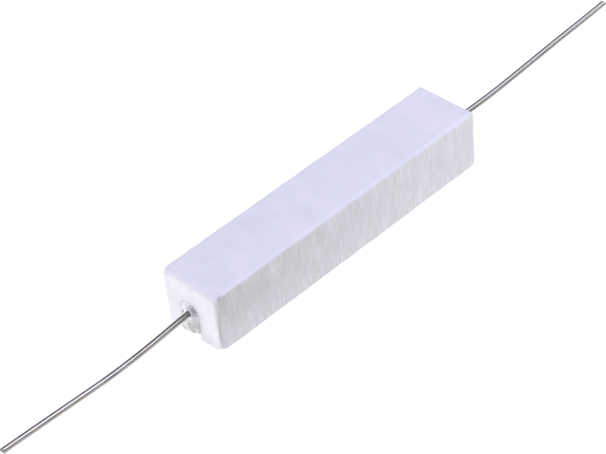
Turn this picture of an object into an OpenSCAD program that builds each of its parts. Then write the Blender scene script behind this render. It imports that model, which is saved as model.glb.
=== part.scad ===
// Axial wirewound resistor in a ceramic case, 10 watt size.
// A wound ceramic rod with two crimped caps lies in a trough of white ceramic, cast in cement.
// Millimetres. X runs along the body towards the rear lead, Z is up, and the open, cemented side
// of the trough is the underside at z = 0. The origin is the middle of that underside.

/* [Case] */
// Length of the ceramic case
body_l = 49; // [44:0.5:60]
// Width of the ceramic case
body_w = 10; // [9.5:0.1:13]
// Height of the ceramic case
body_h = 9.1; // [8.8:0.1:12]
// Thickness of the two long side walls
side_wall = 1.5; // [1:0.1:1.6]
// Thickness of the closed top
top_wall = 1.4; // [1:0.1:1.5]
// Thickness of the two end walls
end_wall = 1.8; // [1.4:0.1:2.2]
// Rounding of the top and upright outer edges
edge_r = 0.6; // [0.3:0.05:0.8]
// Rounding of the edges round the open underside
rim_r = 0.25; // [0.15:0.05:0.4]
// Rounding of the upright corners inside the trough
cavity_r = 0.7; // [0.4:0.1:1]
// Rounding where the side walls meet the closed top inside
ceiling_r = 0.5; // [0.3:0.1:0.8]

/* [Lead slots] */
// Width of the slot in each end wall
slot_w = 3.2; // [2.2:0.1:3.8]
// How far the slots sit to the left of the wire's axis
slot_shift = 0.3; // [0:0.05:0.4]
// Height of the slot's round head above the wire's axis
slot_rise = 1.35; // [1:0.05:2]
// Flare of the slot's mouth at the underside
slot_flare = 0.4; // [0.2:0.1:1]

/* [Cement] */
// How far the cement round and above the wire stays behind the end face
throat_recess = 0.5; // [0.3:0.05:1.2]
// How far the lump of cement below the wire stands out of the slot
lump_out = 0.45; // [0.1:0.05:0.8]
// Height of the lump's outer top edge
lump_h = 2.5; // [1.5:0.1:3.2]
// How far the lump's underside lifts off the resting plane at its outer edge
lump_lift = 0.8; // [0.1:0.05:1.2]
// How far the cone of cement round each lead stands out of the end face
cone_out = 0.4; // [0.2:0.05:1]
// Diameter of that cone at its foot in the slot
cone_d = 2.2; // [1.6:0.1:2.2]
// Thickness of cement round the wire at the cone's tip
cone_rim = 0.2; // [0.1:0.05:0.3]

/* [Winding core] */
// How far the axis of the core and its wires lies below the middle of the case
axis_drop = 0.15; // [0:0.05:0.3]
// Cement left between the winding on the caps and the nearest wall of the trough
core_room = 0.2; // [0.1:0.05:0.5]
// Cement left between the head of each lead and the end wall
end_room = 2.95; // [1:0.05:6]
// Diameter of the resistance wire
wire_d = 0.3; // [0.2:0.02:0.36]
// Distance from one turn of the winding to the next
wire_pitch = 0.95; // [0.9:0.05:2]
// Length of winding that is welded onto the skirt of each cap
weld_l = 0.9; // [0.6:0.1:1.4]
// Length over which the wire steps down from a cap to the rod
wire_step_l = 0.8; // [0.5:0.1:1.2]

/* [Caps] */
// Depth of each metal cap
cap_l = 4; // [3:0.1:5]
// Sheet thickness of each metal cap
cap_wall = 0.32; // [0.2:0.02:0.4]
// Radius of the pressed corner of each cap
cap_r = 0.6; // [0.4:0.05:0.8]

/* [Leads] */
// Diameter of the lead wire
lead_d = 0.8; // [0.6:0.05:1]
// Diameter of the flattened head that is welded to the cap
head_d = 1.9; // [1.4:0.1:2.4]
// Thickness of the flattened head
head_t = 0.4; // [0.3:0.05:0.6]
// Depth of the chamfer where each lead is cut off
cut_chamfer = 0.08; // [0.04:0.02:0.14]
// Radius of the bend where the front lead leaves the case
front_exit_r = 6; // [5:1:30]
// Downward slope of the front lead next to the case, in degrees
front_dip = 6; // [2:0.5:7]
// Length of the dipping stretch of the front lead
front_dip_l = 3.5; // [2:0.1:7]
// Radius of the long bend of the front lead
front_bend_r = 90; // [60:5:120]
// Upward slope of the straight end of the front lead, in degrees
front_tilt = 1.9; // [0.5:0.1:4]
// Length of the straight end of the front lead
front_straight_l = 14.2; // [8:0.1:30]
// Length of rear lead that stays straight before its bend
rear_exit_l = 5.2; // [2:0.1:12]
// Radius of the long bend of the rear lead
rear_bend_r = 90; // [60:5:120]
// Upward slope of the straight end of the rear lead, in degrees
rear_tilt = 4; // [0.5:0.1:6]
// Length of the straight end of the rear lead
rear_straight_l = 22.3; // [10:0.1:35]

/* [Fits] */
// How much thinner a bend of the lead is drawn than its straight wire
bend_draw = 0.004; // [0.002:0.001:0.01]
// How far each straight stretch of lead runs into the bend beside it
bend_seat = 0.01; // [0.005:0.005:0.03]
// Gap left between the cement and what it is cast against
cast_gap = 0.02; // [0.01:0.01:0.05]
// Gap between a cap and the rod inside it
cap_gap = 0.02; // [0.01:0.01:0.05]
// Gap between the winding and what it is wound on
wire_gap = 0.05; // [0.04:0.01:0.1]

/* [Hidden] */
facets = 48;
sweep_facets = 96;
$fn = facets;
eps = 0.01;
margin = 1;
axis_z = body_h / 2 - axis_drop;
inner_l = body_l - 2 * end_wall;
inner_w = body_w - 2 * side_wall;
inner_h = body_h - top_wall;
core_space_d = min(inner_w, 2 * (inner_h - axis_z)) - 2 * core_room;
rod_d = core_space_d - 2 * (wire_d + wire_gap + cap_wall + cap_gap);
rod_l = inner_l - 2 * (end_room + head_t + cap_wall + cap_gap);
cap_bore_r = rod_d / 2 + cap_gap;
cap_outer_r = cap_bore_r + cap_wall;
cap_end_x = rod_l / 2 + cap_gap + cap_wall;
slot_start_x = inner_l / 2 - cavity_r;
slot_reach = end_wall + cavity_r;
cap_rim_x = cap_end_x - cap_l;
head_end_x = cap_end_x + head_t;
exit_x = body_l / 2 + cone_out + cast_gap;
wire_r = wire_d / 2;
wire_rod_r = rod_d / 2 + wire_gap + wire_r;
wire_cap_r = cap_outer_r + wire_gap + wire_r;
wire_end_x = cap_rim_x + weld_l;
wire_top_x = cap_rim_x - wire_d;
wire_foot_x = wire_top_x - wire_step_l;
wire_steps = 20;
wire_sides = 6;
wire_turns = 2 * wire_end_x / wire_pitch;
wire_rings = floor(wire_turns * wire_steps);

// A rectangle with two rounded corners at its top and two at its bottom, made of squares and circles
module rounded_plate(w, h, top_r, low_r) {
    translate([top_r, low_r]) square([w - 2 * top_r, h - top_r - low_r]);
    translate([0, low_r]) square([w, h - top_r - low_r]);
    translate([top_r, h - top_r - eps]) square([w - 2 * top_r, top_r + eps]);
    translate([low_r, 0]) square([w - 2 * low_r, low_r + eps]);
    for (x = [top_r, w - top_r]) translate([x, h - top_r]) circle(top_r);
    for (x = [low_r, w - low_r]) translate([x, low_r]) circle(low_r);
}

// The case before it is hollowed: three rounded profiles, one along each axis
module case_blank() {
    intersection() {
        translate([-body_l / 2, -body_w / 2, -margin])
            linear_extrude(body_h + 2 * margin) rounded_plate(body_l, body_w, edge_r, edge_r);
        translate([-body_l / 2 - margin, -body_w / 2, 0]) rotate([90, 0, 90])
            linear_extrude(body_l + 2 * margin) rounded_plate(body_w, body_h, edge_r, rim_r);
        translate([-body_l / 2, body_w / 2 + margin, 0]) rotate([90, 0, 0])
            linear_extrude(body_w + 2 * margin) rounded_plate(body_l, body_h, edge_r, rim_r);
    }
}

// The space inside the trough, made smaller all round by a gap
module cavity(gap, below) {
    l = inner_l - 2 * gap;
    w = inner_w - 2 * gap;
    intersection() {
        translate([-l / 2, -w / 2, -below])
            linear_extrude(inner_h + below) rounded_plate(l, w, cavity_r, cavity_r);
        translate([-l / 2 - margin, -w / 2, -below]) rotate([90, 0, 90])
            linear_extrude(l + 2 * margin) trough_profile(w, inner_h + below - gap, ceiling_r);
    }
}

// A rectangle whose top corners are rounded
module trough_profile(w, h, r) {
    square([w, h - r]);
    translate([r, 0]) square([w - 2 * r, h]);
    for (x = [r, w - r]) translate([x, h - r]) circle(r);
}

// The round-headed slot of an end wall, from below the case up to its head, along X
module slot_cut(gap, below, length) {
    r = slot_w / 2 - gap;
    head_z = axis_z + slot_rise - slot_w / 2;
    translate([0, -r, -below]) cube([length, 2 * r, head_z + below]);
    translate([0, 0, head_z]) rotate([0, 90, 0]) cylinder(r = r, h = length);
}

// The flare of a slot's mouth: a square strip less a round corner, on each side
module slot_mouth(length) {
    for (side = [-1, 1])
        translate([0, side * (slot_w / 2), 0]) difference() {
            translate([0, side > 0 ? -eps : -slot_flare, -eps])
                cube([length, slot_flare + eps, slot_flare + eps]);
            translate([-margin, side * slot_flare, slot_flare]) rotate([0, 90, 0])
                cylinder(r = slot_flare, h = length + 2 * margin);
        }
}

// The white ceramic trough, open below, with a slot for the lead in each end wall
module ceramic_case() {
    length = slot_reach + margin + eps;
    color("#f0eff6") difference() {
        case_blank();
        cavity(0, margin);
        for (end = [-1, 1])
            translate([end < 0 ? -body_l / 2 - margin : slot_start_x - eps, slot_shift, 0]) {
                slot_cut(0, margin, length);
                slot_mouth(length);
            }
    }
}

// The cement: one casting that fills the trough and both slots round the wound core
module cement_fill() {
    color("#c9cdc4") difference() {
        union() {
            cavity(cast_gap, 0);
            for (end = [-1, 1]) slot_cement(end);
        }
        core_space();
    }
}

// The cement in one slot: the throat, the cone round the lead and the lump below it
module slot_cement(end) {
    mirror([end < 0 ? 1 : 0, 0, 0]) {
        translate([slot_start_x, slot_shift, 0]) {
            slot_cut(cast_gap, 0, slot_reach - throat_recess);
            intersection() {
                slot_cut(cast_gap, 0, slot_reach + lump_out);
                translate([0, slot_w, 0]) rotate([90, 0, 0]) linear_extrude(2 * slot_w) lump_profile();
            }
        }
        translate([body_l / 2 - throat_recess - eps, 0, axis_z]) rotate([0, 90, 0])
            cylinder(d1 = cone_d, d2 = lead_d + 2 * cone_rim, h = throat_recess + cone_out + eps);
    }
}

// The lump seen from the side: an outer face that lifts off the ground and slopes back to the wire
module lump_profile() {
    throat = slot_reach - throat_recess;
    outer = slot_reach + lump_out;
    polygon([
        [0, 0], [throat, 0], [outer, lump_lift], [outer, lump_h],
        [throat, axis_z - lead_d], [0, axis_z - lead_d],
    ]);
}

// The stepped bore that the wound core and its leads take up in the cement
module core_space() {
    x_bore(wire_foot_x, wire_rod_r + wire_r + cast_gap);
    for (end = [0, 180]) rotate([0, 0, end]) {
        x_step(wire_foot_x - eps, wire_end_x + wire_d, wire_cap_r + wire_r + cast_gap);
        x_step(wire_end_x, cap_end_x + cast_gap, cap_outer_r + cast_gap);
        x_step(cap_end_x, head_end_x + cast_gap, head_d / 2 + cast_gap);
        x_step(head_end_x, exit_x + margin, lead_d / 2 + cast_gap);
    }
}

// A bore of radius r through the middle, out to x on both sides
module x_bore(x, r) {
    translate([-x, 0, axis_z]) rotate([0, 90, 0]) cylinder(r = r, h = 2 * x);
}

// A round step on the core's axis, from x0 to x1
module x_step(x0, x1, r) {
    translate([x0, 0, axis_z]) rotate([0, 90, 0]) cylinder(r = r, h = x1 - x0);
}

// The ceramic rod that carries the winding
module core_rod() {
    color("#e9e4da") x_bore(rod_l / 2, rod_d / 2);
}

// Distance of the wire's centre from the core's axis at the place x along it
function wire_height(x) =
    let (t = max(0, min(1, (abs(x) - wire_foot_x) / (wire_top_x - wire_foot_x))))
    wire_rod_r + (wire_cap_r - wire_rod_r) * t * t * (3 - 2 * t);

// One point of the wire's surface: ring i of the helix, side j round the wire
function wire_point(i, j) =
    let (
        x = -wire_end_x + 2 * wire_end_x * i / wire_rings,
        turn = 360 * i / wire_steps,
        side = 360 * j / wire_sides,
        r = wire_height(x) + wire_r * cos(side)
    )
    [x + wire_r * sin(side), r * cos(turn), r * sin(turn)];

// The resistance wire: one helix along the rod, with its ends lifted onto the caps
module resistance_wire() {
    last = wire_rings * wire_sides;
    points = [for (i = [0 : wire_rings]) for (j = [0 : wire_sides - 1]) wire_point(i, j)];
    skin = [
        for (i = [0 : wire_rings - 1]) for (j = [0 : wire_sides - 1])
            let (a = i * wire_sides + j, b = i * wire_sides + (j + 1) % wire_sides)
            [a, b, b + wire_sides, a + wire_sides]
    ];
    first_end = [for (j = [wire_sides - 1 : -1 : 0]) j];
    last_end = [for (j = [0 : wire_sides - 1]) last + j];
    color("#8f8a80") translate([0, 0, axis_z])
        polyhedron(points, concat(skin, [first_end, last_end]), convexity = 10);
}

// A pressed metal cup over the end of the rod, with a rounded corner
module cap() {
    translate([0, 0, axis_z]) rotate([0, 90, 0]) difference() {
        translate([0, 0, cap_rim_x]) union() {
            cylinder(r = cap_outer_r, h = cap_l - cap_r);
            cylinder(r = cap_outer_r - cap_r, h = cap_l);
            translate([0, 0, cap_l - cap_r]) rotate_extrude()
                translate([cap_outer_r - cap_r, 0]) intersection() {
                    circle(cap_r);
                    square(cap_r);
                }
        }
        translate([0, 0, cap_rim_x - margin]) cylinder(r = cap_bore_r, h = cap_l - cap_wall + margin);
    }
}

module front_cap() {
    color("#b9b5ab") rotate([0, 0, 180]) cap();
}

module rear_cap() {
    color("#b9b5ab") cap();
}

// A straight stretch of lead along X from the present place, run into the bend at each end
module lead_run(length) {
    translate([-bend_seat, 0, 0]) rotate([0, 90, 0]) cylinder(d = lead_d, h = length + 2 * bend_seat);
}

// A bend of lead of radius r that turns by an angle: up where positive, down where negative
module lead_bend(r, angle) {
    side = angle > 0 ? 1 : -1;
    translate([0, 0, side * r]) rotate([90, 0, 0])
        rotate([0, 0, side > 0 ? -90 : 90 + angle])
        rotate_extrude(angle = abs(angle), $fn = sweep_facets)
        translate([r, 0]) circle(d = lead_d - bend_draw, $fn = facets);
}

// Moves what follows to the end of such a bend, turned along it
module after_bend(r, angle) {
    side = angle > 0 ? 1 : -1;
    translate([r * sin(abs(angle)), 0, side * r * (1 - cos(angle))]) rotate([0, -angle, 0]) children();
}

// The straight end of a lead, with the edge of its cut broken by a chamfer
module lead_tip(length) {
    rotate([0, 90, 0]) {
        translate([0, 0, -bend_seat]) cylinder(d = lead_d, h = length - cut_chamfer + bend_seat);
        translate([0, 0, length - cut_chamfer])
            cylinder(d1 = lead_d, d2 = lead_d - 2 * cut_chamfer, h = cut_chamfer);
    }
}

// The flattened head on the cap and the straight wire from it, out past the cement
module lead_root(outside) {
    length = exit_x + outside - cap_end_x;
    translate([cap_end_x, 0, 0]) rotate([0, 90, 0]) {
        cylinder(d = head_d, h = head_t);
        cylinder(d = lead_d, h = length + bend_seat);
    }
}

// The front lead dips as it leaves the case and then sweeps back up into its straight end
module front_lead() {
    color("#a7a9ac") rotate([0, 0, 180]) translate([0, 0, axis_z]) {
        lead_root(0);
        translate([exit_x, 0, 0]) {
            lead_bend(front_exit_r, -front_dip);
            after_bend(front_exit_r, -front_dip) {
                lead_run(front_dip_l);
                translate([front_dip_l, 0, 0]) {
                    lead_bend(front_bend_r, front_dip + front_tilt);
                    after_bend(front_bend_r, front_dip + front_tilt) lead_tip(front_straight_l);
                }
            }
        }
    }
}

// The rear lead leaves the case straight and then lifts gently into its straight end
module rear_lead() {
    color("#a7a9ac") translate([0, 0, axis_z]) {
        lead_root(rear_exit_l);
        translate([exit_x + rear_exit_l, 0, 0]) {
            lead_bend(rear_bend_r, rear_tilt);
            after_bend(rear_bend_r, rear_tilt) lead_tip(rear_straight_l);
        }
    }
}

ceramic_case();
cement_fill();
core_rod();
resistance_wire();
front_cap();
rear_cap();
front_lead();
rear_lead();
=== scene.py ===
# %% [markdown]
# A wirewound power resistor in a white ceramic case
#
# The real part is a small square bar of unglazed white ceramic, about 49 mm long. It is a trough
# that was filled with cement round a wound rod, and a tinned wire leaves each end. The solids come
# packed and are loaded as a fixed frame. This lesson dresses them: a camera, a pale light table,
# procedural finishes, and finer surfaces for the pieces that the eye rests on.

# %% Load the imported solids
import math

import bmesh
import bpy
from mathutils import Matrix, Vector, noise


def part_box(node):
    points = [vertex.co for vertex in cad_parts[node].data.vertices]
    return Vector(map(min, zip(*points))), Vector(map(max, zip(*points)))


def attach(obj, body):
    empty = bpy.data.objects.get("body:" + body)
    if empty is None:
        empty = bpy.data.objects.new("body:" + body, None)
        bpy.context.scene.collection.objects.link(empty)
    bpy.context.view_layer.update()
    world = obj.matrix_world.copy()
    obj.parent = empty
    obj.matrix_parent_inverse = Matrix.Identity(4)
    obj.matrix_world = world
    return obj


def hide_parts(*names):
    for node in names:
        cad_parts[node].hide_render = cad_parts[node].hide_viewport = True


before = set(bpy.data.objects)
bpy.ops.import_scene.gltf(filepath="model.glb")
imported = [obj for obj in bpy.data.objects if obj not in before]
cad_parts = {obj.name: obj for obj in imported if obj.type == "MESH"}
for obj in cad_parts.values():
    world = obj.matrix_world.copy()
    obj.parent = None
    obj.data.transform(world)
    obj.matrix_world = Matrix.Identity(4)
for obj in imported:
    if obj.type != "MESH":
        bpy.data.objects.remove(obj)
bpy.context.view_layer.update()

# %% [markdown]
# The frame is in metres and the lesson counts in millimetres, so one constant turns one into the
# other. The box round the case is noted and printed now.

MM = 0.001
case_low, case_high = (Vector(corner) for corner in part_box("ceramic_case"))
print("case in mm:", [round(v / MM, 2) for v in case_high - case_low])

# %% [markdown]
# The slot in each end of the case is straight-sided, open below, and ends in a round head above.
# It sits a little to the left of the middle. Its sizes in millimetres serve both the finish of the
# ceramic and the shape of the cement.

# %% Where the slots are
CASE_END = 24.5
SLOT_MIDDLE = 0.3
SLOT_HEAD_Z = 4.15
SLOT_HALF = 1.6

# %% [markdown]
# ## The camera
#
# A camera can be placed by eye, or by the edges of the object in a picture. Here the corners of
# the bar were matched, which gives a long lens from about 27 cm away. Three turns say where it
# looks: the heading on the ground, the dip below the horizon and a slight roll. A matrix built
# from three unit vectors holds them, which avoids the order of Euler angles.

# %% Camera
CAMERA_PLACE = Vector((-137.96, -155.27, 180.63)) * MM
CAMERA_HEADING = math.radians(49.26)
CAMERA_DIP = math.radians(40.60)
CAMERA_ROLL = math.radians(-6.64)
FOCAL_PIXELS = 2049
PICTURE_WIDTH = 606
SENSOR_WIDTH = 36
NEAREST_SEEN = 10 * MM
FARTHEST_SEEN = 5


def add_camera():
    """Puts the camera at its place, looking along its heading, and makes it the scene's own."""
    data = bpy.data.cameras.new("camera")
    data.sensor_width = SENSOR_WIDTH
    data.lens = SENSOR_WIDTH * FOCAL_PIXELS / PICTURE_WIDTH
    data.clip_start = NEAREST_SEEN
    data.clip_end = FARTHEST_SEEN
    camera = bpy.data.objects.new("camera", data)
    bpy.context.scene.collection.objects.link(camera)
    cos_h, sin_h = math.cos(CAMERA_HEADING), math.sin(CAMERA_HEADING)
    cos_d, sin_d = math.cos(CAMERA_DIP), math.sin(CAMERA_DIP)
    ahead = Vector((cos_h * cos_d, sin_h * cos_d, -sin_d))
    level = Vector((sin_h, -cos_h, 0))
    upright = level.cross(ahead)
    right = level * math.cos(CAMERA_ROLL) + upright * math.sin(CAMERA_ROLL)
    above = right.cross(ahead)
    turn = Matrix((right, above, -ahead)).transposed()
    camera.matrix_world = Matrix.Translation(CAMERA_PLACE) @ turn.to_4x4()
    bpy.context.scene.camera = camera
    return camera


camera = add_camera()
print("lens in mm:", round(camera.data.lens, 1))

# %% [markdown]
# ## Building node materials
#
# A finish is a small tree of nodes. Writing each node and link in full is long, so helpers do it.
# The first three make a material with its shader, add a node with its values and join two sockets.
# The others each stand for one idea, such as a noise, a mix of colours or a product. Every pattern
# reads Object coordinates. The pieces sit at the origin, so these are metres in the part's own
# frame, and a scale of 1000 counts millimetres.

# %% Node helpers
def new_material(name, **shader_values):
    """A material with one Principled shader, whose named sockets are set to fixed values."""
    material = bpy.data.materials.new(name)
    material.use_nodes = True
    shader = material.node_tree.nodes["Principled BSDF"]
    for socket, value in shader_values.items():
        shader.inputs[socket.replace("_", " ")].default_value = value
    return material, material.node_tree, shader


def add_node(tree, kind, inputs=None, **settings):
    """A node of a kind, with its settings, and its inputs set by name or number."""
    node = tree.nodes.new(kind)
    for setting, value in settings.items():
        setattr(node, setting, value)
    for socket, value in (inputs or {}).items():
        node.inputs[socket].default_value = value
    return node


def join(tree, source, target):
    """Links an output socket to an input socket."""
    tree.links.new(source, target)


def place_pattern(tree, scale=(1, 1, 1), turn=(0, 0, 0)):
    """Object coordinates, stretched and turned by a Mapping node."""
    coordinates = add_node(tree, "ShaderNodeTexCoord")
    mapping = add_node(tree, "ShaderNodeMapping", {"Scale": scale, "Rotation": turn})
    join(tree, coordinates.outputs["Object"], mapping.inputs["Vector"])
    return mapping.outputs["Vector"]


def grain(tree, scale, detail=4, roughness=0.55, stretch=(1, 1, 1)):
    """A noise value from 0 to 1. The scale is in grains per metre."""
    pattern = add_node(
        tree, "ShaderNodeTexNoise", {"Scale": scale, "Detail": detail, "Roughness": roughness})
    join(tree, place_pattern(tree, stretch), pattern.inputs["Vector"])
    return pattern.outputs["Fac"]


def spread(tree, value, low, high, new_low=0, new_high=1):
    """Maps a value from one range to another, without going past the new one."""
    mapped = add_node(
        tree, "ShaderNodeMapRange",
        {"From Min": low, "From Max": high, "To Min": new_low, "To Max": new_high})
    join(tree, value, mapped.inputs["Value"])
    return mapped.outputs["Result"]


def blend_colours(tree, factor, first, second):
    """A mix of two colours by a factor. Each is a colour or the output of another node."""
    mix = add_node(tree, "ShaderNodeMix", data_type="RGBA")
    join(tree, factor, mix.inputs["Factor"])
    for colour, socket in ((first, "A"), (second, "B")):
        target = next(s for s in mix.inputs if s.name == socket and s.type == "RGBA")
        if isinstance(colour, tuple):
            target.default_value = (*colour, 1)
        else:
            join(tree, colour, target)
    return next(s for s in mix.outputs if s.type == "RGBA")


def combine(tree, operation, first, second):
    """One arithmetic step on two values, each a number or an output."""
    step = add_node(tree, "ShaderNodeMath", operation=operation)
    for value, socket in zip((first, second), step.inputs):
        if isinstance(value, (int, float)):
            socket.default_value = value
        else:
            join(tree, value, socket)
    return step.outputs["Value"]


def times(tree, first, *others):
    """The product of several values."""
    for other in others:
        first = combine(tree, "MULTIPLY", first, other)
    return first


def size_of(tree, value):
    """A value without its sign."""
    return combine(tree, "ABSOLUTE", value, 0)


def fade(tree, place, start, end, first=0, last=1):
    """Goes from a first value to a last one between two places in millimetres."""
    return spread(tree, place, start * MM, end * MM, first, last)


def raise_surface(tree, shader, heights):
    """Chains one Bump node for each (height, distance in metres, strength) into the shader."""
    normal = None
    for height, distance, strength in heights:
        bump = add_node(tree, "ShaderNodeBump", {"Distance": distance, "Strength": strength})
        join(tree, height, bump.inputs["Height"])
        if normal:
            join(tree, normal, bump.inputs["Normal"])
        normal = bump.outputs["Normal"]
    join(tree, normal, shader.inputs["Normal"])


# %% [markdown]
# ## Places and directions on a piece
#
# A finish often depends on where a point lies or which way its face looks. Both come from the
# object's own axes, so they stay with the piece. These helpers read them and turn them into values
# from 0 to 1.

# %% Place helpers
UPRIGHT_TILT = (0.25, 0.7)
RIGHT_TURN = (-0.9, -0.6)


def object_parts(tree, output):
    """X, Y and Z of the object coordinates or of the object-space normal."""
    coordinates = add_node(tree, "ShaderNodeTexCoord")
    parts = add_node(tree, "ShaderNodeSeparateXYZ")
    join(tree, coordinates.outputs[output], parts.inputs["Vector"])
    return parts.outputs


def upright_faces(tree):
    """1 where a face stands upright and 0 where it lies level."""
    tilt = size_of(tree, object_parts(tree, "Normal")["Z"])
    return spread(tree, tilt, *UPRIGHT_TILT, 1, 0)


def right_side(tree):
    """1 on the long side that faces -Y, and 0 elsewhere."""
    return spread(tree, object_parts(tree, "Normal")["Y"], *RIGHT_TURN, 1, 0)


def closeness(tree, position, place, near, far):
    """1 within a near distance of a place, fading to 0 at a far one, all in millimetres."""
    away = add_node(tree, "ShaderNodeVectorMath", operation="DISTANCE")
    join(tree, position, away.inputs[0])
    away.inputs[1].default_value = [v * MM for v in place]
    return fade(tree, away.outputs["Value"], near, far, 1, 0)


# %% [markdown]
# ## Marks and painted shade on the ceramic
#
# Handling leaves marks on the white case, and shade is painted on it too. Each is a value that
# says how much of another colour covers the white. Beside the upright edge at the near right, one
# thin broken dark line is painted shade on the rounding; it is a band on the X coordinate. The
# right side is darker towards the near end and less so low down, where this paints the bounce
# light of the floor. Fingers left a smudge on one corner.

# %% Painted shade and a smudge on the ceramic
# The thin dark line by the near right edge is painted shade on the rounded upright edge.
EDGE_SHADE_X = -24.15
EDGE_SHADE_HALF_WIDTH = (0.03, 0.17)
EDGE_SHADE_MIDDLE_Z = 3.0
EDGE_SHADE_HALF_HEIGHT = (0.8, 2.2)
EDGE_SHADE_FAINTEST = 0.05
# The right side darkens towards the near end; less darkening low down is painted bounce light.
SIDE_DARKENING_ALONG = (-24, 16)
SIDE_DARKENING_UP = (0.5, 5.0)
SMUDGED_CORNER = (-23.4, -4.9, 9.0)
SMUDGE_REACH = (0.1, 0.85)


def edge_shade_line(tree):
    """Painted shade: a thin broken dark line up the right side, on the near edge's rounding."""
    place = object_parts(tree, "Object")
    across = size_of(tree, combine(tree, "SUBTRACT", place["X"], EDGE_SHADE_X * MM))
    up = size_of(tree, combine(tree, "SUBTRACT", place["Z"], EDGE_SHADE_MIDDLE_Z * MM))
    return times(
        tree,
        fade(tree, across, *EDGE_SHADE_HALF_WIDTH, 1, 0),
        fade(tree, up, *EDGE_SHADE_HALF_HEIGHT, 1, EDGE_SHADE_FAINTEST),
        spread(tree, grain(tree, 500, detail=3), 0.30, 0.5, 0.3, 1),
        right_side(tree))


def darkened_right_side(tree):
    """Darker right side towards the near end; lighter low down as painted bounce light."""
    place = object_parts(tree, "Object")
    patches = grain(tree, 900, detail=5, stretch=(1, 1, 0.25))
    return times(
        tree,
        fade(tree, place["X"], *SIDE_DARKENING_ALONG, 1, 0.1),
        spread(tree, patches, 0.30, 0.62, 0.35, 1),
        fade(tree, place["Z"], *SIDE_DARKENING_UP, 0.3, 1),
        right_side(tree))


def smudged_corner(tree):
    """A small patchy smudge on the upper right corner of the near end."""
    patchy = spread(tree, grain(tree, 1800, detail=4), 0.42, 0.58)
    return times(tree, closeness(tree, place_pattern(tree), SMUDGED_CORNER, *SMUDGE_REACH), patchy)


# %% [markdown]
# Painted shade greys the end face round the edges of the slots, beyond the shade of their hollow.
# The distance from the slot's middle line gives a band beside its outline. The line ends in the
# middle of the round head, so above that point the height counts too, and the band follows the
# head as an arc.

# %% Painted shade round the slots
RIM_REACH = 2.0
RIM_FALLOFF = 3.5
RIM_DEPTH = (23.9, 24.3)
RIM_RIGHT_TO_LEFT = (-0.7, 0.9)
RIM_LOW_TO_HIGH = (2.3, 3.6)
RIM_WEAKEST = 0.3


def slot_rim_shade(tree):
    """Painted shade: 1 at a slot's edge, fading over the end face, weaker to its left and low."""
    place = object_parts(tree, "Object")
    across = add_node(tree, "ShaderNodeCombineXYZ")
    join(tree, combine(tree, "SUBTRACT", place["Y"], SLOT_MIDDLE * MM), across.inputs["X"])
    above_head = combine(tree, "SUBTRACT", place["Z"], SLOT_HEAD_Z * MM)
    join(tree, combine(tree, "MAXIMUM", above_head, 0), across.inputs["Y"])
    beside = closeness(tree, across.outputs["Vector"], (0, 0, 0), SLOT_HALF, SLOT_HALF + RIM_REACH)
    return times(
        tree,
        combine(tree, "POWER", beside, RIM_FALLOFF),
        fade(tree, place["Y"], *RIM_RIGHT_TO_LEFT, 1, RIM_WEAKEST),
        fade(tree, place["Z"], *RIM_LOW_TO_HIGH, RIM_WEAKEST, 1),
        fade(tree, size_of(tree, place["X"]), *RIM_DEPTH))


# %% [markdown]
# ## White ceramic
#
# The case is pressed from white clay and fired without a glaze. Its top came off the punch and is
# smooth. Its sides slid along the die as it was pushed out, which drew fine upright streaks into
# them. One pattern can't serve both, so the object-space normal picks the side faces, and the
# streaks are a noise that is squeezed along X and Y and stretched along Z. They show in colour
# and in the bump. The marks and the painted shade then cover this body one after another, each
# with its own strength.

# %% Ceramic finish
CERAMIC_LIGHT = (0.866, 0.853, 0.867)
CERAMIC_SHADE = (0.797, 0.803, 0.832)
STREAK_SHADE = (0.71, 0.69, 0.66)
# Colour that darkens the right side; it is weaker low down, where that paints bounce light.
SIDE_DARKENING = (0.48, 0.462, 0.42)
# Dark colour of the real smudge and of the painted shade along the near right edge.
DARK_MARK_AND_SHADE = (0.30, 0.29, 0.32)
# Colour of the painted shade round the slots.
SLOT_SHADE = (0.30, 0.30, 0.33)
FINE_STREAK_SHARE = 0.62
END_TURN = (0.6, 0.9)
STREAKS_ON_ENDS = 0.45
# Strength of the smudge and of the painted shade on the edge and round the slots.
MARK_AND_SHADE_STRENGTH = 0.5
SIDE_DARKENING_STRENGTH = 0.56


def draw_streaks(tree):
    """Fine and wide upright streaks in one value."""
    fine = grain(tree, 3600, detail=5, roughness=0.7, stretch=(1, 1, 0.11))
    wide = grain(tree, 900, detail=3, roughness=0.6, stretch=(1, 1, 0.16))
    return combine(tree, "ADD", times(tree, fine, FINE_STREAK_SHARE),
                   times(tree, wide, 1 - FINE_STREAK_SHARE))


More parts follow.
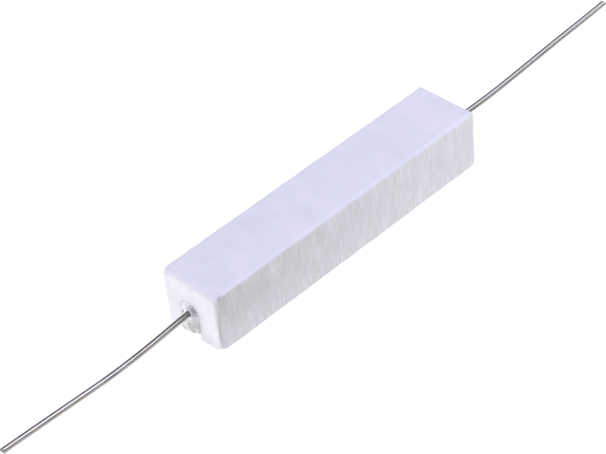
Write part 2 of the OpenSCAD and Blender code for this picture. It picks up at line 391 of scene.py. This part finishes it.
def make_ceramic():
    """White unglazed ceramic, streaked on its upright faces, marked, and with painted shade."""
    material, tree, shader = new_material(
        "fired_white_ceramic", Roughness=0.55, IOR=1.5, Specular_IOR_Level=0.3)
    upright = upright_faces(tree)
    clouds = grain(tree, 230, detail=5, roughness=0.6, stretch=(1, 0.6, 1))
    colour = blend_colours(tree, spread(tree, clouds, 0.35, 0.62), CERAMIC_SHADE, CERAMIC_LIGHT)
    streaks = draw_streaks(tree)
    end_turn = size_of(tree, object_parts(tree, "Normal")["X"])
    rubbed = times(tree, upright, spread(tree, end_turn, *END_TURN, 1, STREAKS_ON_ENDS))
    streaked = times(tree, spread(tree, streaks, 0.60, 0.37), rubbed)
    # The edge line and slot shade are painted shade; the side darkening paints bounce light low
    # down.
    for cover, strength, covering in (
            (streaked, 1, STREAK_SHADE),
            (darkened_right_side(tree), SIDE_DARKENING_STRENGTH, SIDE_DARKENING),
            (edge_shade_line(tree), MARK_AND_SHADE_STRENGTH, DARK_MARK_AND_SHADE),
            (slot_rim_shade(tree), MARK_AND_SHADE_STRENGTH, SLOT_SHADE),
            (smudged_corner(tree), MARK_AND_SHADE_STRENGTH, DARK_MARK_AND_SHADE)):
        colour = blend_colours(tree, times(tree, cover, strength), colour, covering)
    join(tree, colour, shader.inputs["Base Color"])
    powder = grain(tree, 9000, detail=5, roughness=0.7)
    join(tree, spread(tree, powder, 0.3, 0.7, 0.48, 0.66), shader.inputs["Roughness"])
    raise_surface(tree, shader, [
        (powder, 0.012 * MM, 0.5),
        (times(tree, streaks, upright), 0.05 * MM, 0.7),
        (clouds, 0.12 * MM, 0.5),
    ])
    return material


# %% [markdown]
# ## Cement
#
# The filling is a silica cement with fine sand. Dry, it is a matt pale grey with a green cast,
# darker in its pores. Noise gives the clouds, and the distance to the cells of a Voronoi pattern
# gives the grains of sand. High up in a slot a pale skin of fine cement lies over it, next to
# painted shade where the wire comes out. The skin follows the height, and the shade the distance
# from a point, both in object coordinates. Low on the right the same pale colour is painted light
# over the lump's shadow on the wall, and a painted highlight lies where the cement faces up.

# %% Cement finish
CEMENT_LIGHT = (0.80, 0.80, 0.76)
CEMENT_DARK = (0.42, 0.435, 0.385)
SAND = (0.84, 0.84, 0.80)
SAND_PER_METRE = 4200
# Pale skin of fine cement; the same colour is painted light low on the right.
PALE_SKIN_AND_LIGHT = (0.87, 0.868, 0.875)
SKIN_UP = (2.6, 3.6)
# Low on the right, the pale colour is painted light over the lump's shadow on the wall.
RIGHT_PAINTED_LIGHT_ACROSS = (-1.15, -0.75)
RIGHT_PAINTED_LIGHT_UP = (2.2, 3.2)
# Colour of the painted highlight where the cement faces up.
LEDGE_HIGHLIGHT = (0.93, 0.93, 0.91)
LEDGE_HIGHLIGHT_TILT = (0.40, 0.7)
LEDGE_HIGHLIGHT_UP = (3.6, 3.9)
# Colour of the painted shade beside the wire, in the hollow of the slot.
THROAT_SHADE = (0.50, 0.50, 0.53)
THROAT_SHADE_PLACE = (24.4, -0.65, 4.9)
THROAT_SHADE_REACH = (0.25, 1.6)


def throat_shade(tree):
    """Painted shade: 1 beside the wire in both slots, fading out over a millimetre and a half."""
    place = object_parts(tree, "Object")
    both_ends = add_node(tree, "ShaderNodeCombineXYZ")
    join(tree, size_of(tree, place["X"]), both_ends.inputs["X"])
    join(tree, place["Y"], both_ends.inputs["Y"])
    join(tree, place["Z"], both_ends.inputs["Z"])
    return closeness(tree, both_ends.outputs["Vector"], THROAT_SHADE_PLACE, *THROAT_SHADE_REACH)


def make_cement():
    """Matt grey cement with sand and a pale skin, with painted light, highlight and shade."""
    material, tree, shader = new_material("dry_cement", Roughness=0.9, IOR=1.45)
    place = object_parts(tree, "Object")
    clouds = grain(tree, 900, detail=5, roughness=0.6)
    cells = add_node(tree, "ShaderNodeTexVoronoi", {"Scale": SAND_PER_METRE})
    join(tree, place_pattern(tree), cells.inputs["Vector"])
    colour = blend_colours(tree, spread(tree, clouds, 0.32, 0.60), CEMENT_DARK, CEMENT_LIGHT)
    # Where the cement faces up it gets a painted highlight.
    facing_up = spread(tree, object_parts(tree, "Normal")["Z"], *LEDGE_HIGHLIGHT_TILT, 0, 0.9)
    covers = (
        (spread(tree, cells.outputs["Distance"], 0.22, 0.08, 0, 0.5), SAND),
        (fade(tree, place["Z"], *SKIN_UP, 0, 0.95), PALE_SKIN_AND_LIGHT),
        # Painted light: a pale cover over the lump's shadow on the wall, low on the right.
        (times(tree, fade(tree, place["Y"], *RIGHT_PAINTED_LIGHT_ACROSS, 0.8, 0),
               fade(tree, place["Z"], *RIGHT_PAINTED_LIGHT_UP, 1, 0)), PALE_SKIN_AND_LIGHT),
        (times(tree, facing_up, fade(tree, place["Z"], *LEDGE_HIGHLIGHT_UP, 1, 0)), LEDGE_HIGHLIGHT),
        (times(tree, throat_shade(tree), spread(tree, clouds, 0.25, 0.5, 0.6, 0.95)), THROAT_SHADE),
    )
    for cover, covering in covers:
        colour = blend_colours(tree, cover, colour, covering)
    join(tree, colour, shader.inputs["Base Color"])
    join(tree, spread(tree, clouds, 0.3, 0.7, 0.8, 0.97), shader.inputs["Roughness"])
    grains = spread(tree, cells.outputs["Distance"], 0, 0.6)
    raise_surface(tree, shader, [(grains, 0.05 * MM, 0.6), (clouds, 0.20 * MM, 0.6)])
    return material


# %% [markdown]
# ## Metals
#
# The leads are copper wire dipped in tin. Drawing leaves fine lines along the wire, and the tin
# freezes in slight waves, so the reflection is bright but broken. The caps are pressed and plated,
# and the winding is drawn alloy. All three are one recipe: a metal whose roughness and bump come
# from a noise stretched along the length, with its own tint and roughness each time. A place far
# along X gets painted shade, which dims the far lead's highlight.

# %% Metal finishes
# Painted shade far along X, which dims the far lead's highlight.
FAR_PAINTED_SHADE = 0.55
FAR_SHADE_ALONG = (20, 27)
CEMENTED_ALONG = (25.0, 27.2)
FAR_SHADE_DARKNESS = 0.6
CEMENTED = 0.45


def make_metal(name, light, dark, roughness, line_stretch):
    """A metal with drawn lines, painted shade at the far end, and dull where cement touched it."""
    material, tree, shader = new_material(name, Metallic=1.0, Roughness=roughness)
    place = object_parts(tree, "Object")
    lines = grain(tree, 6000, detail=4, roughness=0.6, stretch=line_stretch)
    waves = grain(tree, 700, detail=3, stretch=(0.5, 1, 1))
    tint = combine(tree, "ADD", times(tree, lines, 0.5), times(tree, waves, 0.5))
    colour = blend_colours(tree, spread(tree, tint, 0.35, 0.62), dark, light)
    # Painted shade: a place far along X is darker.
    far_shade = fade(tree, place["X"], *FAR_SHADE_ALONG, 0, FAR_PAINTED_SHADE)
    colour = blend_colours(tree, far_shade, colour, tuple(FAR_SHADE_DARKNESS * v for v in dark))
    dull = times(tree, fade(tree, size_of(tree, place["X"]), *CEMENTED_ALONG, 1, 0),
                 spread(tree, waves, 0.3, 0.6, 0.5, 0.9))
    colour = blend_colours(tree, dull, colour, tuple(CEMENTED * v for v in dark))
    join(tree, colour, shader.inputs["Base Color"])
    join(tree, spread(tree, waves, 0.3, 0.7, roughness * 0.8, roughness * 1.3),
         shader.inputs["Roughness"])
    raise_surface(tree, shader, [(lines, 0.01 * MM, 0.6), (waves, 0.04 * MM, 0.3)])
    return material


# %% [markdown]
# Each finish is made once, and the pieces share it. The metals differ in their light and dark
# tints, in their roughness and in how far their lines stretch.

# %% Make the finishes
TIN = ((0.46, 0.438, 0.380), (0.302, 0.289, 0.256))
CAP_STEEL = ((0.60, 0.58, 0.54), (0.40, 0.38, 0.35))
ALLOY = ((0.42, 0.40, 0.37), (0.22, 0.20, 0.18))
ceramic = make_ceramic()
cement = make_cement()
tin = make_metal("drawn_tinned_wire", *TIN, 0.28, (0.03, 1, 1))
cap_steel = make_metal("plated_cap_steel", *CAP_STEEL, 0.35, (1, 0.05, 0.05))
alloy = make_metal("drawn_alloy_wire", *ALLOY, 0.4, (1, 0.2, 0.2))
print("finishes:", [m.name for m in (ceramic, cement, tin, cap_steel, alloy)])

# %% [markdown]
# The rod is another ceramic, cream and matt. It is hidden, so faint clouds are enough.

# %% Rod finish
ROD_LIGHT = (0.80, 0.76, 0.68)
ROD_SHADE = (0.66, 0.61, 0.52)


def make_rod_ceramic():
    """Matt cream ceramic for the hidden rod."""
    material, tree, shader = new_material("cream_rod_ceramic", Roughness=0.6)
    clouds = spread(tree, grain(tree, 400, detail=5), 0.3, 0.7)
    join(tree, blend_colours(tree, clouds, ROD_SHADE, ROD_LIGHT), shader.inputs["Base Color"])
    raise_surface(tree, shader, [(grain(tree, 7000), 0.01 * MM, 0.5)])
    return material


rod_ceramic = make_rod_ceramic()

# %% [markdown]
# ## Finishing the carried-over solids
#
# A solid whose shape is right keeps its mesh and takes its finish through its material slot. The
# rod, the winding and the caps lie inside the cement, and stay as they are.

# %% Dress the solids
FINISH_OF = {
    "ceramic_case": ceramic,
    "cement_fill": cement,
    "core_rod": rod_ceramic,
    "resistance_wire": alloy,
    "front_cap": cap_steel,
    "rear_cap": cap_steel,
    "front_lead": tin,
    "rear_lead": tin,
}
for node_name, finish in FINISH_OF.items():
    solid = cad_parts[node_name]
    solid.data.materials.clear()
    solid.data.materials.append(finish)
    print(node_name, len(solid.data.vertices), "vertices")

# %% [markdown]
# ## Working on a copy of a solid
#
# The solids have perfect planes, and real fired clay and cement don't. A solid's mesh is made of
# long loose triangles that can't bend, so a copy of it is prepared in three steps. Its doubled
# points are merged. Flat neighbours are dissolved into one face. Then parallel planes slice the
# faces into a fine grid, whose points can be moved.

# %% Copy and slice
DOUBLED = 0.0005 * MM
FLAT_WITHIN = math.radians(0.5)
ON_PLANE = 0.0002 * MM


def copy_of_solid(node_name):
    """A bmesh with a merged copy of a solid, its flat faces joined."""
    shape = bmesh.new()
    shape.from_mesh(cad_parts[node_name].data)
    bmesh.ops.remove_doubles(shape, verts=shape.verts, dist=DOUBLED)
    bmesh.ops.dissolve_limit(
        shape, angle_limit=FLAT_WITHIN, verts=shape.verts, edges=shape.edges)
    return shape


def slice_across(shape, axis, places):
    """Cuts every face with planes across an axis, at places given in millimetres."""
    normal = Vector(axis)
    for place in places:
        everything = shape.verts[:] + shape.edges[:] + shape.faces[:]
        bmesh.ops.bisect_plane(
            shape, geom=everything, dist=ON_PLANE,
            plane_co=normal * place * MM, plane_no=normal)


def clear_slivers(shape, verts, reach):
    """Merges points that lie closer than the reach, which removes needle-thin faces."""
    before = len(shape.verts)
    bmesh.ops.remove_doubles(shape, verts=verts, dist=reach * MM)
    return before - len(shape.verts)


def steps(first, last, step):
    """Evenly spaced places from first to last, both included."""
    count = round((last - first) / step)
    return [first + (last - first) * i / count for i in range(count + 1)]


def smooth_points(shape, verts, along_y=True):
    """Moves points halfway to the middle of their neighbours, with or without the part along Y."""
    bmesh.ops.smooth_vert(shape, verts=verts, factor=0.5,
                          use_axis_x=True, use_axis_y=along_y, use_axis_z=True)


def add_piece(shape, name, node_name, finish, sharp_degrees=40):
    """Turns a bmesh into a smooth-shaded piece that stands for a solid."""
    bmesh.ops.triangulate(shape, faces=shape.faces[:])
    mesh = bpy.data.meshes.new(name)
    shape.to_mesh(mesh)
    shape.free()
    mesh.polygons.foreach_set("use_smooth", [True] * len(mesh.polygons))
    mesh.set_sharp_from_angle(angle=math.radians(sharp_degrees))
    mesh.materials.append(finish)
    piece = bpy.data.objects.new(name, mesh)
    bpy.context.scene.collection.objects.link(piece)
    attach(piece, "root")
    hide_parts(node_name)
    print(name, len(mesh.polygons), "triangles")
    return piece


# %% [markdown]
# ## The fired case
#
# Clay shrinks and warps a little in the kiln, and its edges rub off in handling. Each point of the
# outer skin moves inwards by a slow noise, and near an edge by a quicker one as well, so that the
# edges look soft and a little uneven. Some corners are knocked flatter: every point beyond a
# slanted plane is set back towards it. Points only ever move inwards, so the case keeps its size.
# Needle-thin faces would show as dark specks once their points move, so points that almost touch
# merge first.

# %% Outer skin of the case
SKIN_DEPTH = 0.62
FACES_OUT = 0.3
BESIDE_SLOT_X = 23
BESIDE_SLOT_Y = 2.6
FOOT_HEIGHT = 0.9


def skin_of_case(point):
    """The outward direction of the nearest outer plane and the distances to all of them."""
    gaps = []
    for axis in range(3):
        for low in (True, False):
            gap = point[axis] - case_low[axis] if low else case_high[axis] - point[axis]
            outward = Vector((0, 0, 0))
            outward[axis] = -1 if low else 1
            gaps.append((gap / MM, tuple(outward)))
    gaps.sort()
    return Vector(gaps[0][1]), [gap for gap, _ in gaps]


def beside_slot(point, height):
    """Whether a point lies near a slot and below a height in millimetres."""
    return (abs(point.x) > BESIDE_SLOT_X * MM and abs(point.y) < BESIDE_SLOT_Y * MM
            and point.z < height * MM)


# %% [markdown]
# The rim's faces at the foot of a slot are too thin to move without tearing, so they stay. Their
# neighbours move by a few hundredths of a millimetre, which hides the difference.

# %% Wear
WARP, WARP_SPAN = 0.025, 5.0
EDGE_REACH = 1.1
RUB, UNEVEN_RUB, RUB_SPAN = 0.05, 0.09, 1.7
OTHER_NOISE = Vector((7, 3, 1))
KNOCKED_CORNERS = (
    ((-1, 1, 1), 0.75),
    ((1, -1, -1), 0.62),
    ((-1, -1, -1), 0.74),
    ((-1, -1, 1), 0.55),
)
KNOCKED_SHARE = 0.8


def rub_case(shape):
    """Warps the outer skin, rubs its edges, and returns how many points moved."""
    shape.normal_update()
    moves = []
    for vert in shape.verts:
        outward, gaps = skin_of_case(vert.co)
        faces_in = vert.normal.dot(outward) < FACES_OUT
        if gaps[0] > SKIN_DEPTH or faces_in or beside_slot(vert.co, FOOT_HEIGHT):
            continue
        place = vert.co / MM
        warp = WARP * (1 + noise.noise(place / WARP_SPAN))
        near_edge = max(0.0, 1 - gaps[1] / EDGE_REACH)
        unevenness = UNEVEN_RUB * noise.noise(place / RUB_SPAN + OTHER_NOISE)
        rub = near_edge ** 2 * (RUB + unevenness)
        moves.append((vert, vert.normal * (warp + max(rub, 0)) * MM))
    for vert, move in moves:
        vert.co -= move
    return len(moves)


def knock_corners(shape):
    """Sets the points beyond a slanted plane at some corners back towards it."""
    for corner, depth in KNOCKED_CORNERS:
        tip = Vector([high if c > 0 else low for c, low, high in zip(corner, case_low, case_high)])
        outward = Vector(corner).normalized()
        flat = tip - outward * depth * MM
        knocked = [v for v in shape.verts if (v.co - flat).dot(outward) > 0]
        for vert in knocked:
            vert.co -= outward * (vert.co - flat).dot(outward) * KNOCKED_SHARE
        for _ in range(3):
            smooth_points(shape, knocked)


# %% [markdown]
# The edges of the slots that catch the light are bevelled first, while each is still one clean
# outline. Then the copy is sliced, more finely near the ends, and its skin is worn.

# %% Fired case
END_SLICES = steps(22.5, 24.3, 0.3)
LENGTH_SLICES = steps(-22, 22, 0.5)
WIDTH_SLICES = steps(-4.7, 4.7, 0.36)
HEIGHT_SLICES = steps(0.3, 8.8, 0.36)
SLOT_EDGE_Y = (-2.2, 0.9)
SLOT_EDGE_LOW = 0.75
SLOT_EDGE_ROUND = 0.3
MERGED_UP_TO = 6.5
SLIVER_REACH = 0.05


def on_slot_edge(edge):
    """Whether an edge belongs to the right half or head of a slot's outline."""
    low_y, high_y = SLOT_EDGE_Y
    return (len(edge.link_faces) == 2
            and all(abs(v.co.x) / MM > CASE_END - 0.01 and low_y < v.co.y / MM < high_y
                    and v.co.z / MM > SLOT_EDGE_LOW for v in edge.verts)
            and edge.calc_face_angle() > math.radians(60))


def round_slot_edges(shape):
    """Bevels the edge of each slot's right half and head, where it meets the end face."""
    outline = [edge for edge in shape.edges if on_slot_edge(edge)]
    bmesh.ops.bevel(shape, geom=outline, offset=SLOT_EDGE_ROUND * MM, offset_type="OFFSET",
                    segments=4, profile=0.5, affect="EDGES", material=-1, clamp_overlap=True)
    return len(outline)


def make_case():
    """The finely sliced and worn copy of the case."""
    shape = copy_of_solid("ceramic_case")
    print("slot edges rounded:", round_slot_edges(shape))
    slice_across(shape, (1, 0, 0), [-x for x in END_SLICES] + LENGTH_SLICES + END_SLICES)
    slice_across(shape, (0, 1, 0), WIDTH_SLICES)
    slice_across(shape, (0, 0, 1), HEIGHT_SLICES)
    skin = [v for v in shape.verts if skin_of_case(v.co)[1][0] < SKIN_DEPTH
            and not beside_slot(v.co, MERGED_UP_TO)]
    print("sliver points merged:", clear_slivers(shape, skin, SLIVER_REACH))
    print("case points moved:", rub_case(shape))
    knock_corners(shape)
    return add_piece(shape, "fired_case", "ceramic_case", ceramic)


fired_case = make_case()

# %% [markdown]
# ## The cement casting
#
# Cement is poured in from the open side and pushed out of the slots a little. It sets with soft
# lumps and a skin round the wire. The copy of the solid is sliced finely near both slots only. Its
# outer points there are smoothed, which rounds the lump and the cone, and then stirred by noise.
# The points that face the case walls only slide along them, so that nothing passes through the
# ceramic. The rim of the throat spreads until it touches the slot's wall, as wet cement does.

# %% Places in the cement
THROAT_PLACE = 24.0
CAST_HALF = 1.58
AT_WALL = CAST_HALF - 0.05
WIRE_Z = 4.4
WIRE_R = 0.4
COLLAR_R = WIRE_R + 0.06
THROAT_SKIN = 0.02
HOLLOW_DEPTH = 0.45
HOLLOW_PLACE = (-0.6, 4.7)
HOLLOW_SPAN = (0.65, 0.8)


def from_wire(place):
    """Distance in millimetres from the line that the wire runs along inside the case."""
    return math.hypot(place.y, place.z - WIRE_Z)


def across_slot(place):
    """The way to a point from the slot's middle line, which ends in the middle of its head."""
    return Vector((0, place.y - SLOT_MIDDLE, max(0, place.z - SLOT_HEAD_Z)))


def throat_depth(place):
    """How far the cement lies behind the end face: a shallow skin with a hollow by the wire."""
    across = (place.y - HOLLOW_PLACE[0]) / HOLLOW_SPAN[0]
    up = (place.z - HOLLOW_PLACE[1]) / HOLLOW_SPAN[1]
    return THROAT_SKIN + HOLLOW_DEPTH * math.exp(-across ** 2 - up ** 2)


# %% [markdown]
# Smoothing comes before the noise, since it would wipe the noise out again. The foot of the lump
# is lifted after both, most on its right, where the cement never reached the ground.

# %% Soft cement
SOFT_DEPTH = 0.75
SLIDES_BELOW = 3.0
ROUNDS = 6
LUMPS = ((0.13, 0.9), (0.06, 2.6))
THROAT_LOW = 3.2
THROAT_SHARE = 0.2
FOOT_LIFT = 1.1
LIFT_UP_TO = 2.4
LIFT_FROM_Y, LIFT_OVER_Y = 0.9, 2.0
LOWEST = 0.02


def spread_throat(shape):
    """Shapes the throat, and returns the points that may move freely or slide on a wall."""
    outer, sliding = [], []
    for vert in shape.verts:
        place = vert.co / MM
        if from_wire(place) < COLLAR_R:
            continue
        across = across_slot(place)
        at_wall = across.length > AT_WALL
        if abs(abs(place.x) - THROAT_PLACE) < 0.02:
            vert.co.x = math.copysign(CASE_END - throat_depth(place), place.x) * MM
            if at_wall:
                vert.co += across * (SLOT_HALF / CAST_HALF - 1) * MM
            place = vert.co / MM
        if abs(place.x) < CASE_END - SOFT_DEPTH:
            continue
        if not at_wall or abs(place.x) > CASE_END:
            outer.append(vert)
        elif place.z < SLIDES_BELOW:
            sliding.append(vert)
    return outer, sliding


def stir(shape, outer):
    """Pushes points out and in by noise, less in the throat, and never towards a wall."""
    shape.normal_update()
    for vert in outer:
        place = vert.co / MM
        height = sum(depth * noise.noise(place * often) for depth, often in LUMPS)
        in_throat = place.z > THROAT_LOW and abs(place.x) < CASE_END + 0.1
        push = vert.normal * height * (THROAT_SHARE if in_throat else 1)
        if abs(place.x) < CASE_END:
            push.y = 0
        vert.co += push * MM


def lift_foot(verts):
    """Lifts the lump's foot off the ground, most on its right, where the cement ran out."""
    for vert in verts:
        place = vert.co / MM
        to_right = min(1, max(0, (LIFT_FROM_Y - place.y) / LIFT_OVER_Y))
        lift = FOOT_LIFT * max(0, 1 - place.z / LIFT_UP_TO) * to_right
        vert.co.z = max(place.z + lift, LOWEST) * MM


# %% [markdown]
# Two places are left. The wide underside sinks in a little, as cement does when it dries, and the
# bores in the slots close onto the wires, so that no gap shows round them.

# %% Cement casting
UNDERSIDE = 0.06
UNDERSIDE_OFTEN = 0.45
FINE_END_SLICES = steps(23.0, 25.1, 0.15)
COARSE_SLICES = steps(-22, 22, 1.0)
ACROSS_SLICES = steps(-3.0, 3.0, 0.2)
UP_SLICES = steps(0.2, 6.0, 0.2)


def settle_cement(shape):
    """Sinks the underside a little and closes the bores in the slots onto the wires."""
    for vert in shape.verts:
        place = vert.co / MM
        if place.z < 0.01 and abs(place.x) < CASE_END - 1:
            sunk = UNDERSIDE + UNDERSIDE * noise.noise(place * UNDERSIDE_OFTEN)
            vert.co.z += sunk * MM
        if abs(place.x) > CASE_END - 0.8 and from_wire(place) < COLLAR_R:
            away = Vector((0, vert.co.y, vert.co.z - WIRE_Z * MM))
            vert.co -= away.normalized() * (away.length - (WIRE_R - 0.01) * MM)


def make_casting():
    """The copy of the cement, finely sliced and softened where it shows."""
    shape = copy_of_solid("cement_fill")
    slice_across(
        shape, (1, 0, 0), [-x for x in FINE_END_SLICES] + FINE_END_SLICES + COARSE_SLICES)
    slice_across(shape, (0, 1, 0), ACROSS_SLICES)
    slice_across(shape, (0, 0, 1), UP_SLICES)
    outer, sliding = spread_throat(shape)
    for _ in range(ROUNDS):
        smooth_points(shape, outer)
        smooth_points(shape, sliding, along_y=False)
    stir(shape, outer)
    lift_foot(outer + sliding)
    settle_cement(shape)
    print("cement points stirred:", len(outer), "and slid:", len(sliding))
    return add_piece(shape, "cement_casting", "cement_fill", cement, 60)


cement_casting = make_casting()

# %% [markdown]
# ## The two wires
#
# Each lead starts as a flattened head that is welded to a cap, runs out through the cement and was
# bent a little by hand. A bmesh can be drawn out like the wire itself. The head is a flat cylinder.
# Its front is inset to the wire's size, and that face is then extruded step by step: by a move
# where the wire is straight and by a turn about the bend's centre where it isn't. Each step leaves
# one clean ring of points, so the highlight runs along the wire without a break.

# %% Drawing out a wire
HEAD_PLACE = 19.35
HEAD_THICKNESS = 0.4
HEAD_R = 0.95
RING_POINTS = 28
STEP_LENGTH = 0.8


def extrude_face(shape, face):
    """Extrudes a face in place, removes the old one from inside the wire and returns the new."""
    made = bmesh.ops.extrude_face_region(shape, geom=[face])["geom"]
    bmesh.ops.delete(shape, geom=[face], context="FACES_ONLY")
    return next(item for item in made if isinstance(item, bmesh.types.BMFace))


def draw_straight(shape, face, place, tilt, length):
    """Draws the face along its direction and returns it with the new place."""
    count = max(1, round(length / STEP_LENGTH))
    move = Vector((math.cos(tilt), 0, math.sin(tilt))) * length / count
    for _ in range(count):
        face = extrude_face(shape, face)
        bmesh.ops.translate(shape, verts=face.verts[:], vec=move * MM)
    return face, place + move * count


def draw_bend(shape, face, place, tilt, radius, turn):
    """Turns the face about the centre of a bend, up for a positive turn."""
    side = math.copysign(1, turn)
    centre = place + side * radius * Vector((-math.sin(tilt), 0, math.cos(tilt)))
    count = max(3, round(radius * abs(turn) / STEP_LENGTH))
    rotation = Matrix.Rotation(-turn / count, 3, "Y")
    for _ in range(count):
        face = extrude_face(shape, face)
        bmesh.ops.rotate(shape, verts=face.verts[:], cent=centre * MM, matrix=rotation)
        place = centre + rotation @ (place - centre)
    return face, place


# %% [markdown]
# A wire from a roller straightener is never quite straight, so whole rings are moved by a very slow
# noise. The cut was made by side cutters. It is a blunt wedge: the end face gets two inset rings,
# and every point of it moves back by its distance from the ridge.

# %% Hand marks on a wire
WIRE_FREE_FROM = 26.0
WEDGE_LENGTH = 0.28
CUT_RINGS = 2
CUT_RING_WIDTH = 0.12
SWAY_ACROSS, SWAY_UP = 0.06, 0.05
SWAY_GROWS_OVER = 8.0
SWAY_SPAN = 9.0


def press_cut(shape, face, place, tilt):
    """Presses the end of the wire to a wedge with a level ridge."""
    for _ in range(CUT_RINGS):
        bmesh.ops.inset_region(
            shape, faces=[face], thickness=CUT_RING_WIDTH * MM, use_even_offset=True)
    along = Vector((math.cos(tilt), 0, math.sin(tilt)))
    above = Vector((-math.sin(tilt), 0, math.cos(tilt)))
    end = [v for v in shape.verts if (v.co / MM - place).dot(along) > -0.01]
    for vert in end:
        away = abs((vert.co / MM - place).dot(above)) / WIRE_R
        vert.co -= along * WEDGE_LENGTH * away * MM
    return len(end)


def bend_slightly(shape, seed):
    """Moves rings sideways, by nothing at the case and a little further out."""
    for vert in shape.verts:
        out = vert.co.x / MM - WIRE_FREE_FROM
        if out > 0:
            grow = min(1.0, out / SWAY_GROWS_OVER)
            across = noise.noise(Vector((out / SWAY_SPAN, seed, 0.5)))
            up = noise.noise(Vector((out / SWAY_SPAN, seed, 5.5)))
            vert.co.y += SWAY_ACROSS * grow * across * MM
            vert.co.z += SWAY_UP * grow * up * MM


# %% [markdown]
# A route is a list of straight runs and bends, in millimetres and degrees. Both wires are drawn
# towards +X, and the front one is then turned round.

# %% Both wires
FRONT_ROUTE = (("straight", 5.17), ("bend", 6, -6), ("straight", 3.5), ("bend", 90, 7.9),
               ("straight", 14.2))
REAR_ROUTE = (("straight", 10.37), ("bend", 90, 4), ("straight", 22.3))


def make_wire(node_name, name, route, turned, seed):
    """Draws a wire towards +X, and turns it round for the front."""
    shape = bmesh.new()
    facing_x = Matrix.Rotation(math.pi / 2, 4, "Y")
    at_cap = Matrix.Translation(Vector((HEAD_PLACE + HEAD_THICKNESS / 2, 0, WIRE_Z)) * MM)
    bmesh.ops.create_cone(
        shape, cap_ends=True, segments=RING_POINTS, radius1=HEAD_R * MM, radius2=HEAD_R * MM,
        depth=HEAD_THICKNESS * MM, matrix=at_cap @ facing_x)
    face = max(shape.faces, key=lambda side: side.calc_center_median().x)
    bmesh.ops.inset_region(
        shape, faces=[face], thickness=(HEAD_R - WIRE_R) * MM, use_even_offset=True)
    place, tilt = Vector((HEAD_PLACE + HEAD_THICKNESS, 0, WIRE_Z)), 0.0
    for kind, size, *turn in route:
        if kind == "straight":
            face, place = draw_straight(shape, face, place, tilt, size)
        else:
            face, place = draw_bend(shape, face, place, tilt, size, math.radians(turn[0]))
            tilt += math.radians(turn[0])
    print(name, "ends at", [round(v, 2) for v in place])
    print("points of the cut:", press_cut(shape, face, place, tilt))
    bend_slightly(shape, seed)
    if turned:
        half_turn = Matrix.Rotation(math.pi, 3, "Z")
        bmesh.ops.rotate(shape, verts=shape.verts, cent=Vector(), matrix=half_turn)
    bmesh.ops.recalc_face_normals(shape, faces=shape.faces)
    return add_piece(shape, name, node_name, tin)


front_wire = make_wire("front_lead", "front_wire", FRONT_ROUTE, True, 3.7)
rear_wire = make_wire("rear_lead", "rear_wire", REAR_ROUTE, False, 8.2)

# %% [markdown]
# ## The light table
#
# The bar lies on a white table that is lit from within, so the ground is white and the shadow
# almost vanishes. A plain diffuse floor would need so much light that the white bar would burn
# out. Most of the floor's brightness therefore comes from its own glow.

# %% Floor
FLOOR_SPAN = 1.6
PAPER = (0.22, 0.22, 0.22, 1)
GLOW = (1, 0.995, 1, 1)
GLOW_STRENGTH = 0.86


def add_floor():
    """A square of glowing paper under the bar, not attached to it, so that it isn't part of it."""
    mesh = bpy.data.meshes.new("floor")
    shape = bmesh.new()
    bmesh.ops.create_grid(shape, x_segments=1, y_segments=1, size=FLOOR_SPAN / 2)
    shape.to_mesh(mesh)
    shape.free()
    floor = bpy.data.objects.new("floor", mesh)
    bpy.context.scene.collection.objects.link(floor)
    material, _, _ = new_material(
        "floor_paper", Base_Color=PAPER, Roughness=0.9,
        Emission_Color=GLOW, Emission_Strength=GLOW_STRENGTH)
    mesh.materials.append(material)
    return floor


floor = add_floor()

# %% [markdown]
# ## Studio light
#
# Three soft boxes and a dim room. The cool one above lights the top of the bar, and leans towards
# the far end so that it also shows as the bright line along the wires. The one beyond the near end
# makes that end the brightest face, and hangs low, so that the rounded edge above the end keeps
# the tone of the top. The small one at the far right lifts the right side, more at its far end.
# The room is grey, so the wires have something dark to mirror at their edges.

# %% Lights
AIM = Vector((0, 0, 5)) * MM
SOFT_BOXES = (
    ("top_box", (0.52, -0.27, 0.81), 0.7, (0.72, 0.50), 4.3, (0.74, 0.745, 1.0)),
    ("end_box", (-1, 0.2, 0.42), 0.7, (0.4, 0.4), 2.8, (0.89, 0.885, 0.98)),
    ("side_box", (0.16, -0.10, 0.035), 0.2, (0.06, 0.06), 0.045, (1.0, 0.98, 0.94)),
)


def add_soft_box(name, direction, distance, size, watts, colour):
    """A rectangular area light that looks at the bar from a direction."""
    data = bpy.data.lights.new(name, "AREA")
    data.shape = "RECTANGLE"
    data.size, data.size_y = size
    data.energy = watts
    data.color = colour
    light = bpy.data.objects.new(name, data)
    light.location = AIM + Vector(direction).normalized() * distance
    light.rotation_mode = "QUATERNION"
    light.rotation_quaternion = (AIM - light.location).to_track_quat("-Z", "Y")
    bpy.context.scene.collection.objects.link(light)
    return light


for soft_box in SOFT_BOXES:
    light = add_soft_box(*soft_box)
    print(light.name, "of", light.data.energy, "W")

# %% [markdown]
# The room has one even colour, which fills the shadows. The Standard view shows the tones as they
# are lit, without a film's curve.

# %% Room
ROOM_COLOUR = (0.89, 0.875, 0.95, 1)
ROOM_BRIGHTNESS = 0.27


def set_room():
    """Gives the room an even dim colour."""
    world = bpy.data.worlds.new("room")
    world.use_nodes = True
    background = world.node_tree.nodes["Background"]
    background.inputs["Color"].default_value = ROOM_COLOUR
    background.inputs["Strength"].default_value = ROOM_BRIGHTNESS
    bpy.context.scene.world = world


set_room()
bpy.context.scene.view_settings.view_transform = "Standard"
